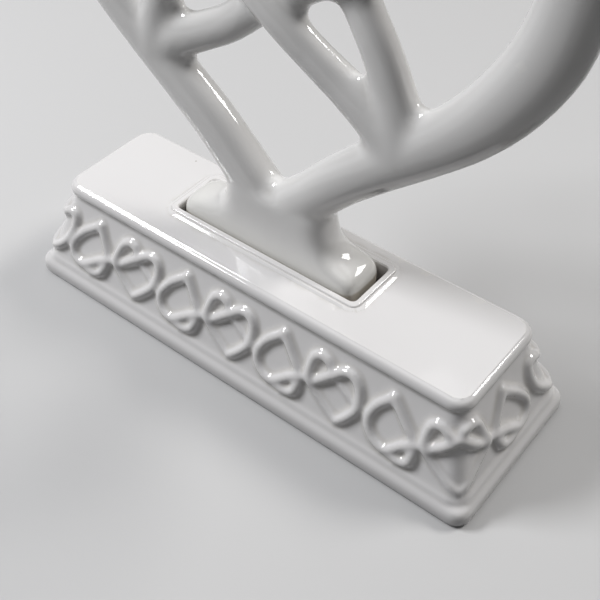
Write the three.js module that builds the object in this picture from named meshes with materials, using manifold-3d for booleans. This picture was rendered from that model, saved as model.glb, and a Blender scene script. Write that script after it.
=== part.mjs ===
// Porcelain cake topper: an openwork heart of interlaced strands on a foot, which stands
// in a socket in the top of a moulded plinth with an interlaced cord frieze.
// Millimetres, +Z up, +X along the plinth, front towards -Y.
// The origin is on the surface that the plinth stands on, under the middle of the whole.

import * as THREE from 'three';
import { mergeVertices } from 'three/addons/utils/BufferGeometryUtils.js';
import Module from 'manifold-3d';

const wasm = await Module();
wasm.setup();

// Driving dimensions of the plinth
const plinthLength = 114;
const plinthDepth = 39;
const plinthHeight = 23.8;
const flangeHeight = 4.8;
const flangeCorner = 3.2;
const flangeRound = 1.5;
const flangeChamfer = 0.5;
const flangeLedge = 2.3;
const beadWidth = 0.5;
const beadHeight = 1.1;
const slabSetback = 6.1;
const slabThickness = 2.7;
const slabCorner = 4;
const slabRound = 1.1;
const slabStep = 1;
const friezeCorner = 2;
const plinthWall = 3.8;
const plinthTop = 4.2;

// Driving dimensions of the socket and its raised lip
const socketShiftX = -2.2;
const socketShiftY = 2.1;
const socketDepth = 8;
const socketWall = 2.8;
const socketCorner = 1;
const lipWidth = 1.3;
const lipHeight = 0.6;
const stepWidth = 2.5;
const stepHeight = 0.28;

// Driving dimensions of the frieze cord
const friezePitch = 26.1;
const cordRadius = 1.15;
const cordStep = 3;

// Driving dimensions of the figure
const footLength = 43.8;
const footDepth = 11;
const footCorner = 1.8;
const footChamfer = 0.6;
const footRise = 1.3;
const footClearance = 0.35;
const footEndPlay = 0.65;
const waistHalf = 12.6;
const waistShift = 1.6;
const waistDepth = 8.6;
const waistRise = 11.5;
const heartShift = 0.2;
const heartHalfWidth = 53;
const heartTipRise = 6.1;
const heartHeight = 99;
const armWidth = 10.8;
const armDepth = 7.6;
const strandWidth = 7.3;
const strandDepth = 5.6;
const strandLift = 1.2;

// Small overrun of every cut, and the distance at which corners are welded
const overrun = 1;
const weld = 0.0001;

// Counts of steps, sides and motifs
const cornerSteps = 4;
const cordSides = 5;
const armSides = 12;
const armRings = 32;
const strandSides = 8;
const strandRings = 22;
const longMotifs = 4;

// Derived heights, half sizes and places
const slabUnder = plinthHeight - slabThickness;
const slabHalfX = plinthLength / 2 - slabSetback;
const slabHalfY = plinthDepth / 2 - slabSetback;
const friezeTopHalfX = slabHalfX - slabStep;
const friezeTopHalfY = slabHalfY - slabStep;
const friezeFootHalfX = plinthLength / 2 - flangeLedge;
const friezeFootHalfY = plinthDepth / 2 - flangeLedge;
const friezeFoot = flangeHeight + beadHeight;
const friezeHeight = slabUnder - friezeFoot;
const socketHalfX = footLength / 2 + footClearance + footEndPlay;
const socketHalfY = footDepth / 2 + footClearance;
const socketFloor = plinthHeight - socketDepth;
const figureX = socketShiftX - footEndPlay;
const figureY = socketShiftY;
const footBottom = socketFloor + footClearance;
const footShoulder = plinthHeight + footRise;

// Materials
const glaze = new THREE.MeshStandardMaterial({ color: 0xe9e6e3, roughness: 0.12 });
const creamGlaze = new THREE.MeshStandardMaterial({ color: 0xe6e6df, roughness: 0.12 });

// Closed ring of a rectangle with round corners, seen from above counter-clockwise
function roundRect(halfX, halfY, corner, z) {
  const radius = Math.min(corner, halfX, halfY);
  const ring = [];
  [[1, 1], [-1, 1], [-1, -1], [1, -1]].forEach(([sideX, sideY], quarter) => {
    for (let i = 0; i <= cornerSteps; i += 1) {
      const angle = (quarter + i / cornerSteps) * Math.PI / 2;
      ring.push(new THREE.Vector3(
        sideX * (halfX - radius) + radius * Math.cos(angle),
        sideY * (halfY - radius) + radius * Math.sin(angle),
        z,
      ));
    }
  });
  return ring;
}

// Closed surface through a stack of rings of equal count, with a flat fan at each end
function loft(rings) {
  const count = rings[0].length;
  const positions = [];
  const face = (...points) => points.forEach((point) => positions.push(...point.toArray()));
  for (let k = 0; k < rings.length - 1; k += 1) {
    for (let i = 0; i < count; i += 1) {
      const j = (i + 1) % count;
      face(rings[k][i], rings[k][j], rings[k + 1][j]);
      face(rings[k][i], rings[k + 1][j], rings[k + 1][i]);
    }
  }
  const first = rings[0];
  const last = rings[rings.length - 1];
  for (let i = 1; i < count - 1; i += 1) {
    face(first[0], first[i + 1], first[i]);
    face(last[0], last[i], last[i + 1]);
  }
  const geometry = new THREE.BufferGeometry();
  geometry.setAttribute('position', new THREE.Float32BufferAttribute(positions, 3));
  return mergeVertices(geometry, weld);
}

// Solid for joins and cuts, from a closed geometry
function solid(geometry) {
  return new wasm.Manifold(new wasm.Mesh({
    numProp: 3,
    vertProperties: new Float32Array(geometry.attributes.position.array),
    triVerts: new Uint32Array(geometry.index.array),
  }));
}

// Largest shell of a solid, without the tiny pockets that crossing cords can seal
function largestShell(body) {
  return body.decompose().reduce((best, shell) => (shell.volume() > best.volume() ? shell : best));
}

// Named mesh from a finished solid
function meshOf(name, body, material) {
  const { vertProperties, triVerts } = largestShell(body).getMesh();
  const geometry = new THREE.BufferGeometry();
  geometry.setAttribute('position', new THREE.BufferAttribute(vertProperties, 3));
  geometry.setIndex(new THREE.BufferAttribute(triVerts, 1));
  const mesh = new THREE.Mesh(geometry, material);
  mesh.name = name;
  return mesh;
}

// Elliptical section swept along points: its out axis at each point follows a given normal
function sweep(points, sides, normalAt, halfAcross, halfOut) {
  const last = points.length - 1;
  const rings = points.map((point, k) => {
    const ahead = points[Math.min(k + 1, last)].clone().sub(points[Math.max(k - 1, 0)]).normalize();
    const across = new THREE.Vector3().crossVectors(normalAt(k), ahead).normalize();
    const out = new THREE.Vector3().crossVectors(ahead, across);
    return Array.from({ length: sides }, (_, i) => {
      const angle = 2 * Math.PI * i / sides;
      return point.clone()
        .addScaledVector(across, halfAcross(k / last) * Math.cos(angle))
        .addScaledVector(out, halfOut(k / last) * Math.sin(angle));
    });
  });
  return loft(rings);
}

// Half sizes and height of the frieze ground at a share of the way down from the slab
function groundAt(down) {
  return {
    halfX: THREE.MathUtils.lerp(friezeTopHalfX, friezeFootHalfX, down),
    halfY: THREE.MathUtils.lerp(friezeTopHalfY, friezeFootHalfY, down),
    z: slabUnder - down * friezeHeight,
  };
}

// Lengths of the frieze's path at mid height: half a long side, a corner, half a short side
const middle = groundAt(1 / 2);
const halfLong = middle.halfX - friezeCorner;
const halfShort = middle.halfY - friezeCorner;
const cornerArc = friezeCorner * Math.PI / 2;
const quarterPath = halfLong + cornerArc + halfShort;

// Point on the frieze ground and its outward normal, from a distance along the path that
// starts at the middle of the front and runs towards +X, and a share of the way down
function friezePoint(distance, down) {
  const ground = groundAt(down);
  const half = Math.round(distance / (2 * quarterPath));
  const local = distance - half * 2 * quarterPath;
  const turn = Math.sign(local);
  const run = Math.abs(local);
  const straightX = ground.halfX - friezeCorner;
  const straightY = ground.halfY - friezeCorner;
  const angle = THREE.MathUtils.clamp((run - halfLong) / friezeCorner, 0, Math.PI / 2);
  const alongX = Math.min(run / halfLong, 1) * straightX;
  const alongY = 1 - Math.max(run - halfLong - cornerArc, 0) / halfShort;
  const flip = half % 2 === 0 ? 1 : -1;
  const x = alongX + friezeCorner * Math.sin(angle);
  const y = -straightY * alongY - friezeCorner * Math.cos(angle);
  const lean = Math.atan2(friezeFootHalfY - friezeTopHalfY, friezeHeight);
  const normal = new THREE.Vector3(turn * Math.sin(angle), -Math.cos(angle), Math.tan(lean));
  normal.x *= flip;
  normal.y *= flip;
  return {
    point: new THREE.Vector3(flip * turn * x, flip * y, ground.z),
    normal: normal.normalize(),
  };
}

// Runs of the frieze cord beside one leaf tip, as [share of the way to the next tip, share of
// the way down, level]: level 1 rides over another cord, level -1 lies low in the ground.
const leafShares = [
  [0.012, 0.085, -0.3], [-0.05, 0.19, 0], [-0.11, 0.275, 0], [-0.165, 0.365, 0],
  [-0.205, 0.46, 0], [-0.24, 0.56, 0], [-0.255, 0.665, 0], [-0.25, 0.76, -0.1],
  [-0.225, 0.85, -0.2], [-0.175, 0.91, -0.1], [-0.115, 0.925, 0], [-0.055, 0.86, 0.1],
  [0.005, 0.775, 0.2], [0.06, 0.7, 0.2], [0.115, 0.64, 0.2], [0.165, 0.59, 0.1],
  [0.21, 0.55, -0.2], [0.25, 0.53, -0.5],
];
const hookShares = [
  [-0.1, 0.915, -0.4], [-0.03, 0.95, -0.1], [0.03, 0.955, 0], [0.08, 0.94, 0],
  [0.12, 0.895, 0.1], [0.15, 0.83, 0.2], [0.172, 0.76, 0.2], [0.178, 0.68, 0],
  [0.175, 0.6, -0.8],
];
const veinShares = [
  [0, 0.1, -0.2], [0.025, 0.17, -0.4], [0.055, 0.26, -0.5], [0.085, 0.36, -0.5],
  [0.115, 0.45, -0.5], [0.15, 0.53, -0.7], [0.18, 0.6, -1.2],
];
const archShares = [
  [0.47, 0.96, -0.9], [0.4, 0.87, -1], [0.33, 0.765, -0.9], [0.265, 0.66, -0.4],
  [0.235, 0.57, 0.3], [0.22, 0.47, 0.4], [0.225, 0.37, 0.2], [0.245, 0.27, 0],
  [0.275, 0.185, 0], [0.325, 0.125, 0], [0.375, 0.105, 0], [0.42, 0.135, 0],
  [0.452, 0.205, -0.3], [0.475, 0.28, -0.7], [0.51, 0.36, -0.9], [0.56, 0.44, -0.9],
  [0.62, 0.51, -0.9], [0.67, 0.57, -1.1],
];
const loopShares = [
  [0.225, 0.56, -0.9], [0.28, 0.52, -0.1], [0.335, 0.455, 0.2], [0.385, 0.395, 0.3],
  [0.44, 0.325, 0.4], [0.49, 0.26, 0.4], [0.54, 0.19, 0.2], [0.59, 0.145, 0],
  [0.635, 0.14, 0], [0.672, 0.18, 0], [0.693, 0.26, 0], [0.697, 0.36, 0], [0.69, 0.46, 0],
  [0.675, 0.55, 0], [0.645, 0.64, 0.1], [0.605, 0.725, 0.1], [0.56, 0.81, 0.1],
  [0.515, 0.885, 0], [0.475, 0.94, -0.3], [0.45, 0.965, -0.8],
];
// Where a run crosses a corner of the plinth, share 0.5 is the corner itself
const cornerRiseShares = [
  [0.225, 0.56, -0.9], [0.28, 0.53, -0.1], [0.33, 0.47, 0.2], [0.38, 0.405, 0.3],
  [0.43, 0.33, 0.4], [0.47, 0.265, 0.4], [0.505, 0.22, 0.3],
];
const cornerArchShares = [
  [0.505, 0.99, -1.1], [0.45, 0.93, -1], [0.4, 0.86, -1], [0.33, 0.765, -1],
  [0.265, 0.66, -0.5], [0.235, 0.57, 0.3], [0.215, 0.47, 0.4], [0.22, 0.37, 0.2],
  [0.242, 0.27, 0], [0.275, 0.185, 0], [0.325, 0.125, 0], [0.375, 0.11, 0],
  [0.425, 0.13, 0], [0.47, 0.16, 0.1], [0.505, 0.18, 0.1],
];
const cornerLoopShares = [
  [0.495, 0.3, -0.6], [0.525, 0.22, 0.1], [0.56, 0.165, 0], [0.61, 0.14, 0],
  [0.665, 0.145, 0], [0.7, 0.18, 0], [0.722, 0.26, 0], [0.727, 0.36, 0], [0.72, 0.46, 0],
  [0.705, 0.55, 0], [0.67, 0.64, 0.1], [0.617, 0.725, 0.1], [0.565, 0.81, 0.1],
  [0.52, 0.885, 0], [0.495, 0.93, -0.4],
];
const longRuns = [leafShares, hookShares, veinShares, archShares, loopShares];
const cornerRuns = [leafShares, hookShares, veinShares, cornerArchShares, cornerRiseShares];
const restShare = 0.4;
const liftShare = 0.75;

// One run of cord beside the leaf tip at start, with closer steps at a corner; reach is the
// signed way to the next tip
function cordRun(shares, start, reach) {
  const path = new THREE.CatmullRomCurve3(shares.map(([place, down, level]) => new THREE.Vector3(
    start + place * reach,
    down * friezeHeight,
    level * liftShare * cordRadius,
  )));
  const steps = 2 * Math.ceil(path.getLength() / cordStep);
  const nearCorner = (distance) => {
    const run = Math.abs(distance - 2 * quarterPath * Math.round(distance / (2 * quarterPath)));
    return Math.abs(run - halfLong - cornerArc / 2) < cordStep;
  };
  const places = path.getSpacedPoints(steps)
    .filter((place, i) => i % 2 === 0 || nearCorner(place.x))
    .map((place) => {
      const { point, normal } = friezePoint(place.x, place.y / friezeHeight);
      point.addScaledVector(normal, cordRadius * restShare + place.z);
      return { point, normal };
    });
  const half = () => cordRadius;
  return sweep(places.map((place) => place.point), cordSides, (k) => places[k].normal, half, half);
}

// All runs of cord, once round the plinth: the same on both long sides, mirrored on both ends
function cords() {
  const runs = [];
  const corner = halfLong + cornerArc / 2;
  [0, 2 * quarterPath].forEach((side) => {
    const toFirst = (longMotifs - 1) / 2 * friezePitch;
    const end = side + quarterPath;
    for (let i = 0; i < longMotifs - 1; i += 1) {
      longRuns.forEach((shares) => {
        runs.push(cordRun(shares, side - toFirst + i * friezePitch, friezePitch));
      });
    }
    [side + toFirst, end].forEach((tip) => {
      cornerRuns.forEach((shares) => runs.push(cordRun(shares, tip, 2 * (side + corner - tip))));
    });
    const far = side + 2 * quarterPath - corner;
    [end, side + 2 * quarterPath - toFirst].forEach((tip) => {
      runs.push(cordRun(cornerLoopShares, 2 * far - tip, 2 * (tip - far)));
    });
  });
  return runs;
}

// Cast plinth: flange, sloping frieze, slab, raised lip, socket tray and open underside
function plinth() {
  const flangeX = plinthLength / 2;
  const flangeY = plinthDepth / 2;
  const soft = 1 - Math.SQRT1_2;
  const shell = loft([
    roundRect(flangeX - flangeChamfer, flangeY - flangeChamfer, flangeCorner, 0),
    roundRect(flangeX, flangeY, flangeCorner, flangeChamfer),
    roundRect(flangeX, flangeY, flangeCorner, flangeHeight - flangeRound),
    roundRect(flangeX - flangeRound * soft, flangeY - flangeRound * soft, flangeCorner,
      flangeHeight - flangeRound * soft),
    roundRect(flangeX - flangeRound, flangeY - flangeRound, flangeCorner, flangeHeight),
    roundRect(friezeFootHalfX + beadWidth, friezeFootHalfY + beadWidth, friezeCorner, flangeHeight),
    roundRect(friezeFootHalfX + beadWidth * (1 - soft), friezeFootHalfY + beadWidth * (1 - soft),
      friezeCorner, friezeFoot - beadHeight * soft),
    roundRect(friezeFootHalfX, friezeFootHalfY, friezeCorner, friezeFoot),
    roundRect(friezeTopHalfX, friezeTopHalfY, friezeCorner, slabUnder),
    roundRect(slabHalfX - slabRound * soft, slabHalfY - slabRound * soft, slabCorner, slabUnder),
    roundRect(slabHalfX, slabHalfY, slabCorner, slabUnder + slabRound * soft),
    roundRect(slabHalfX, slabHalfY, slabCorner, plinthHeight - slabRound),
    roundRect(slabHalfX - slabRound * soft, slabHalfY - slabRound * soft, slabCorner,
      plinthHeight - slabRound * soft),
    roundRect(slabHalfX - slabRound, slabHalfY - slabRound, slabCorner, plinthHeight),
  ]);
  const underside = loft([
    roundRect(friezeFootHalfX - plinthWall, friezeFootHalfY - plinthWall, flangeCorner, -overrun),
    roundRect(friezeTopHalfX - plinthWall, friezeTopHalfY - plinthWall, flangeCorner,
      plinthHeight - plinthTop),
  ]);
  const trayX = socketHalfX + socketWall;
  const trayY = socketHalfY + socketWall;
  const tray = loft([
    roundRect(trayX - socketWall / 2, trayY - socketWall / 2, flangeCorner,
      socketFloor - socketWall),
    roundRect(trayX, trayY, flangeCorner, socketFloor),
    roundRect(trayX, trayY, flangeCorner, plinthHeight - plinthTop / 2),
  ]);
  const surround = (width, height) => {
    const edge = height / 2;
    const corner = socketCorner + width / 2;
    const ring = (inset, z) => (
      roundRect(socketHalfX + width - inset, socketHalfY + width - inset, corner, z));
    return loft([
      ring(0, plinthHeight - plinthTop / 2),
      ring(0, plinthHeight + height - edge),
      ring(edge * soft, plinthHeight + height - edge * soft),
      ring(edge, plinthHeight + height),
    ]);
  };
  const step = surround(stepWidth, stepHeight);
  const lip = surround(lipWidth, lipHeight);
  const socketTop = plinthHeight + lipHeight;
  const flare = lipHeight / 2;
  const socket = loft([
    roundRect(socketHalfX, socketHalfY, socketCorner, socketFloor),
    roundRect(socketHalfX, socketHalfY, socketCorner, socketTop - flare / 2),
    roundRect(socketHalfX + flare, socketHalfY + flare, socketCorner + flare, socketTop),
    roundRect(socketHalfX + overrun, socketHalfY + overrun, socketCorner + flare,
      socketTop + overrun),
  ]);
  const place = [socketShiftX, socketShiftY, 0];
  let body = solid(shell).subtract(solid(underside));
  [tray, step, lip].forEach((geometry) => {
    body = body.add(solid(geometry).translate(place));
  });
  body = body.subtract(solid(socket).translate(place));
  cords().forEach((cord) => {
    body = body.add(solid(cord));
  });
  return meshOf('plinth', body, glaze);
}

// Centreline of the heart's outer strands: each arm from the trunk up, then the lobe round to
// the dip: [share of the half width, share of the heart's height, share of the arm's width, share
// of its depth]. The arms differ a little, as in hand work.
const rightArmShares = [
  [-0.057, -0.04, 1, 1.15], [0.085, 0.049, 0.98, 1.12], [0.182, 0.1, 0.945, 1.08],
  [0.293, 0.162, 0.94, 1.02], [0.435, 0.231, 0.965, 0.98], [0.588, 0.301, 0.99, 0.98],
];
const leftArmShares = [
  [-0.057, -0.04, 1, 1.15], [0.08, 0.052, 1.05, 1.12], [0.175, 0.105, 1.05, 1.08],
  [0.287, 0.166, 1.03, 1.02], [0.434, 0.231, 0.99, 0.98], [0.588, 0.3, 1, 0.98],
];
const lobeShares = [
  [0.743, 0.378, 1.03, 1], [0.86, 0.457, 1.07, 1.03], [0.951, 0.551, 1.08, 1.03],
  [0.995, 0.663, 1.02, 1], [0.987, 0.769, 0.95, 0.97], [0.906, 0.88, 0.9, 0.94],
  [0.745, 0.966, 0.86, 0.9], [0.538, 1, 0.84, 0.88], [0.34, 0.971, 0.82, 0.86],
  [0.17, 0.89, 0.8, 0.84], [0.047, 0.794, 0.78, 0.84], [-0.02, 0.738, 0.78, 0.84],
];

// Inner strands that leave one arm and cross to the other: the same shares of place, then a
// level in front of (1) or behind (-1) the figure's middle plane, and the share of the strand's
// width and depth. The low strand sags more on the left.
const rightLowShares = [
  [0.528, 0.274, 0, 1.35], [0.42, 0.325, 0.1, 1.2], [0.296, 0.366, 0.3, 1.05],
  [0.183, 0.405, 0.7, 1], [0.049, 0.455, 1, 1], [-0.094, 0.508, 0.3, 1],
  [-0.25, 0.561, -1, 1], [-0.41, 0.607, -0.4, 1], [-0.59, 0.658, 0, 1], [-0.76, 0.718, 0, 1.05],
  [-0.896, 0.789, 0, 1.15], [-0.953, 0.85, 0, 1.3],
];
const leftLowShares = [
  [0.528, 0.269, 0, 1.35], [0.42, 0.317, 0.1, 1.2], [0.3, 0.35, 0.3, 1.05],
  [0.183, 0.386, 0.7, 1], [0.049, 0.444, 1, 1], [-0.094, 0.498, 0.3, 1],
  [-0.25, 0.556, -1, 1], [-0.41, 0.605, -0.4, 1], [-0.59, 0.658, 0, 1], [-0.76, 0.718, 0, 1.05],
  [-0.896, 0.789, 0, 1.15], [-0.953, 0.85, 0, 1.3],
];
const highShares = [
  [0.53, 0.274, 0, 1.4], [0.514, 0.324, 0, 1.28], [0.487, 0.38, 0, 1.12], [0.438, 0.443, 0, 1.03],
  [0.382, 0.491, -0.2, 1], [0.323, 0.53, -0.7, 1], [0.226, 0.579, -0.8, 1],
  [0.113, 0.625, 0.2, 1], [0, 0.673, 1, 1], [-0.146, 0.727, 0.4, 1], [-0.303, 0.787, 0, 1],
  [-0.456, 0.849, 0, 1.05], [-0.597, 0.909, 0, 1.15], [-0.72, 0.965, 0, 1.3],
];

// Value of a row of shares at a place from 0 to 1 along it
function along(shares, place) {
  const at = place * (shares.length - 1);
  const low = Math.min(Math.floor(at), shares.length - 2);
  return THREE.MathUtils.lerp(shares[low], shares[low + 1], at - low);
}

// One strand of the figure: side is 1 as listed, or -1 for its mirror image, which passes
// behind where the listed one passes in front
function strand(places, widths, depths, side, rings, sides) {
  const tipZ = plinthHeight + heartTipRise;
  const path = new THREE.CatmullRomCurve3(places.map(([x, z, level]) => new THREE.Vector3(
    heartShift + side * x * heartHalfWidth,
    -side * level * strandLift,
    tipZ + z * heartHeight,
  )));
  const points = Array.from({ length: rings + 1 }, (_, k) => path.getPoint(k / rings));
  const front = new THREE.Vector3(0, 1, 0);
  const halfWidth = (place) => along(widths, place) / 2;
  const halfDepth = (place) => along(depths, place) / 2;
  return solid(sweep(points, sides, () => front, halfWidth, halfDepth));
}

// Outer strand of one side, from the trunk to the dip
function outerStrand(side) {
  const shares = [...(side > 0 ? rightArmShares : leftArmShares), ...lobeShares];
  const places = shares.map(([x, z]) => [x, z, 0]);
  const widths = shares.map((row) => row[2] * armWidth);
  const depths = shares.map((row) => row[3] * armDepth);
  return strand(places, widths, depths, side, armRings, armSides);
}

// Inner strand that starts on one side
function innerStrand(shares, side) {
  const widths = shares.map((row) => row[3] * strandWidth);
  const depths = shares.map((row) => row[3] * strandDepth);
  return strand(shares, widths, depths, side, strandRings, strandSides);
}

// The foot's shoulders: [share of the way in to the waist, share of the rise, share of the way
// from the foot's depth to the waist's, share of the way to round ends]
const shoulderShares = [
  [0, 0, 0, 0], [0.02, 0.045, 0.08, 0.35], [0.08, 0.085, 0.2, 0.7], [0.24, 0.13, 0.34, 0.95],
  [0.5, 0.19, 0.5, 1], [0.73, 0.28, 0.66, 1], [0.88, 0.42, 0.8, 1], [0.965, 0.65, 0.92, 1],
  [1, 1, 1, 1],
];

// Foot block with soft shoulders that sweep up into the trunk
function foot() {
  const bottomX = footLength / 2;
  const bottomY = footDepth / 2;
  const shoulders = shoulderShares.map(([inShare, upShare, neckShare, roundShare]) => {
    const halfX = THREE.MathUtils.lerp(bottomX, waistHalf, inShare);
    const halfY = THREE.MathUtils.lerp(bottomY, waistDepth / 2, neckShare);
    const corner = THREE.MathUtils.lerp(footCorner, halfY, roundShare);
    const ring = roundRect(halfX, halfY, corner, footShoulder + upShare * waistRise);
    return ring.map((point) => point.setX(point.x + inShare * waistShift));
  });
  return solid(loft([
    roundRect(bottomX - footChamfer, bottomY - footChamfer, footCorner, footBottom),
    roundRect(bottomX, bottomY, footCorner, footBottom + footChamfer),
    ...shoulders,
  ]));
}

// Cast figure: foot, two outer strands that make the heart, four inner strands
function figure() {
  let body = foot();
  [1, -1].forEach((side) => {
    const lowShares = side > 0 ? rightLowShares : leftLowShares;
    body = body.add(outerStrand(side));
    body = body.add(innerStrand(lowShares, side)).add(innerStrand(highShares, side));
  });
  const mesh = meshOf('figure', body, creamGlaze);
  mesh.position.set(figureX, figureY, 0);
  return mesh;
}

// The heart is a little wider than the plinth and off its middle, so the whole is centred
const topper = new THREE.Group();
topper.add(plinth(), figure());
const reach = new THREE.Box3().setFromObject(topper).getCenter(new THREE.Vector3());
topper.position.x = -reach.x;

export default topper;
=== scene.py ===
"""Porcelain cake topper: the glazed look of the plinth and of the heart that stands in it.

Metres, +Z up, +X along the plinth, front towards -Y. Each piece is modelled as overlapping clay
shells that are joined, softened as glaze softens them, and given a porcelain finish.
"""

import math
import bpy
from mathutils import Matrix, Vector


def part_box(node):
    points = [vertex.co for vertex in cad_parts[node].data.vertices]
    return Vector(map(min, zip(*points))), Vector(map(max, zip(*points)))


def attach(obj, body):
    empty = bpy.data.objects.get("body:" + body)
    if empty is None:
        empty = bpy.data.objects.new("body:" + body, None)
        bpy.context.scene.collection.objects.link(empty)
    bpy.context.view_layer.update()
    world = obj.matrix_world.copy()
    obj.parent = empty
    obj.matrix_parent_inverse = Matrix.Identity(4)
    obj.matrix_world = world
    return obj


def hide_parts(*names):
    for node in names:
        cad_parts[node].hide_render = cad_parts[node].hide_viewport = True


bl_info = {
    "name": "Porcelain Cake Topper",
    "version": (1, 0, 0),
    "blender": (4, 5, 0),
    "location": "View3D > Sidebar > Topper",
    "description": "Models a glazed porcelain heart in the socket of a plinth with a cord frieze",
    "category": "Add Mesh",
}

import bmesh
import bpy
from bpy.props import FloatProperty, FloatVectorProperty, PointerProperty
from mathutils import Matrix, Vector
from mathutils.geometry import interpolate_bezier

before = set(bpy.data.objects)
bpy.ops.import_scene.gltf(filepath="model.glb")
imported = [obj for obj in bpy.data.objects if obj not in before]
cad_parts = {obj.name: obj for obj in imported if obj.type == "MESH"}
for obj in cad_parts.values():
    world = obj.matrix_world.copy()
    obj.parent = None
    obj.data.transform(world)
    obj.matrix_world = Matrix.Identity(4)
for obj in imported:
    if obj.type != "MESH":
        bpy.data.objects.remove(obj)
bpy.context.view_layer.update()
PLINTH_LOW, PLINTH_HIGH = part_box("plinth")
FIGURE_LOW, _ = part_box("figure")
MIDDLE = (PLINTH_LOW + PLINTH_HIGH) / 2

MM = 0.001
SAME_LEVEL = 0.01 * MM
CORNER_STEPS = 12
EDGE_STEPS = 8
# Edges under this angle are shaded smooth
CRISP_ANGLE = math.radians(27)
# Share of the plinth's softened faces that are kept, and passes that smooth each piece's clay
THIN_SHARE = 0.52
PLINTH_PASSES = 8
FOOT_PASSES = 6
FIGURE_PASSES = 20
# Share of a clay cell within which the softened slab is made level
LEVEL_SHARE = 1 / 3

# The lip: its height, and shares of that height for its rounded and its inner edge
LIP_HEIGHT = 0.6 * MM
LIP_ROUND = 0.6
LIP_CHAMFER = 0.4
FOOT_DEPTH = 11 * MM

# How far the foot's tint reaches over and under the lip's top, and the depths under it between
# which glaze gives way to bare clay darkened by painted shade in the gap
TINT_REACH = 7 * MM
GAP_HIGH = 0.2 * MM
GAP_LOW = 1.1 * MM

# Runs of frieze cord beside one leaf tip: [share of the way to the next tip, share of the way
# down, level]. Level 1 rides over another cord, level -1 lies low in the ground.
LEAF_SHARES = [
    (0.012, 0.085, -0.3), (0, 0.11, 0), (-0.05, 0.19, 0), (-0.11, 0.275, 0), (-0.165, 0.365, 0),
    (-0.205, 0.46, 0), (-0.24, 0.56, 0), (-0.255, 0.665, 0), (-0.25, 0.76, -0.1),
    (-0.225, 0.85, -0.2), (-0.175, 0.91, -0.1), (-0.115, 0.925, 0), (-0.055, 0.86, 0.1),
    (0.005, 0.775, 0.2), (0.06, 0.7, 0.2), (0.115, 0.64, 0.2), (0.165, 0.59, 0.1),
    (0.21, 0.55, -0.2), (0.25, 0.53, -0.5),
]
HOOK_SHARES = [
    (-0.1, 0.93, -0.4), (-0.04, 0.955, -0.1), (0.015, 0.955, 0), (0.06, 0.93, 0.1),
    (0.095, 0.88, 0.2), (0.115, 0.815, 0.2), (0.13, 0.745, 0.2), (0.14, 0.68, 0),
    (0.145, 0.6, -0.8),
]
VEIN_SHARES = [
    (0, 0.1, 0), (0.025, 0.17, 0), (0.055, 0.26, -0.05), (0.085, 0.36, -0.1),
    (0.115, 0.45, -0.1), (0.15, 0.53, -0.4), (0.18, 0.6, -0.9),
]
ARCH_SHARES = [
    (0.47, 0.96, -0.7), (0.4, 0.87, -0.8), (0.33, 0.765, -0.7), (0.275, 0.66, -0.3),
    (0.25, 0.57, 0.3), (0.243, 0.47, 0.4), (0.25, 0.37, 0.2), (0.268, 0.27, 0),
    (0.295, 0.185, 0), (0.335, 0.125, 0), (0.375, 0.105, 0), (0.42, 0.135, 0),
    (0.452, 0.205, -0.3), (0.475, 0.28, -0.7),
]
GHOST_SHARES = [
    (0.475, 0.28, -0.6), (0.51, 0.36, -0.8), (0.56, 0.44, -0.85), (0.62, 0.51, -0.8),
    (0.67, 0.57, -0.9),
]
RISE_SHARES = [
    (0.26, 0.575, -0.9), (0.3, 0.53, -0.1), (0.345, 0.465, 0.2), (0.39, 0.4, 0.3),
    (0.44, 0.325, 0.4), (0.49, 0.26, 0.4),
]
LOOP_SHARES = [
    (0.44, 0.325, 0.4), (0.49, 0.26, 0.4), (0.54, 0.19, 0.2), (0.59, 0.145, 0),
    (0.635, 0.14, 0), (0.672, 0.18, 0), (0.693, 0.26, 0), (0.697, 0.36, 0), (0.69, 0.46, 0),
    (0.675, 0.55, 0), (0.645, 0.64, 0.1), (0.605, 0.725, 0.1), (0.56, 0.81, 0.1),
    (0.515, 0.885, 0), (0.475, 0.94, -0.3), (0.45, 0.965, -0.8),
]
# Runs at the corners, where share 0.5 of the way is the corner itself: two small loops meet at
# one corner and two large loops at the next
CORNER_RISE_SHARES = [
    (0.225, 0.56, -0.9), (0.28, 0.53, -0.1), (0.33, 0.47, 0.2), (0.38, 0.405, 0.3),
    (0.43, 0.33, 0.2), (0.47, 0.265, 0), (0.505, 0.22, -0.2),
]
CORNER_ARCH_SHARES = [
    (0.505, 0.99, -1), (0.45, 0.93, -0.9), (0.4, 0.86, -0.85), (0.33, 0.765, -0.8),
    (0.27, 0.66, -0.4), (0.25, 0.57, 0.3), (0.243, 0.49, 0.4), (0.25, 0.4, 0.2), (0.268, 0.3, 0),
    (0.295, 0.21, 0), (0.33, 0.145, 0), (0.365, 0.12, 0), (0.4, 0.135, 0), (0.43, 0.185, -0.1),
    (0.45, 0.24, -0.3), (0.465, 0.3, -0.6),
]
END_ARCH_SHARES = [
    (0.505, 0.99, -1), (0.45, 0.93, -0.9), (0.4, 0.86, -0.85), (0.33, 0.765, -0.8),
    (0.265, 0.66, -0.4), (0.245, 0.58, 0.2), (0.262, 0.49, 0.3), (0.283, 0.39, 0.2),
    (0.308, 0.28, 0), (0.34, 0.18, 0), (0.38, 0.105, 0), (0.42, 0.075, 0), (0.455, 0.09, -0.1),
    (0.48, 0.14, -0.3), (0.495, 0.2, -0.6),
]
CORNER_LOOP_SHARES = [
    (0.495, 0.3, -0.6), (0.52, 0.22, 0.1), (0.55, 0.165, 0), (0.585, 0.14, 0),
    (0.62, 0.145, 0), (0.647, 0.18, 0), (0.667, 0.26, 0), (0.675, 0.36, 0), (0.675, 0.46, 0),
    (0.668, 0.56, 0), (0.65, 0.655, 0.1), (0.622, 0.745, 0.1), (0.583, 0.83, 0.1),
    (0.535, 0.9, 0), (0.495, 0.94, -0.4),
]
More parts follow.
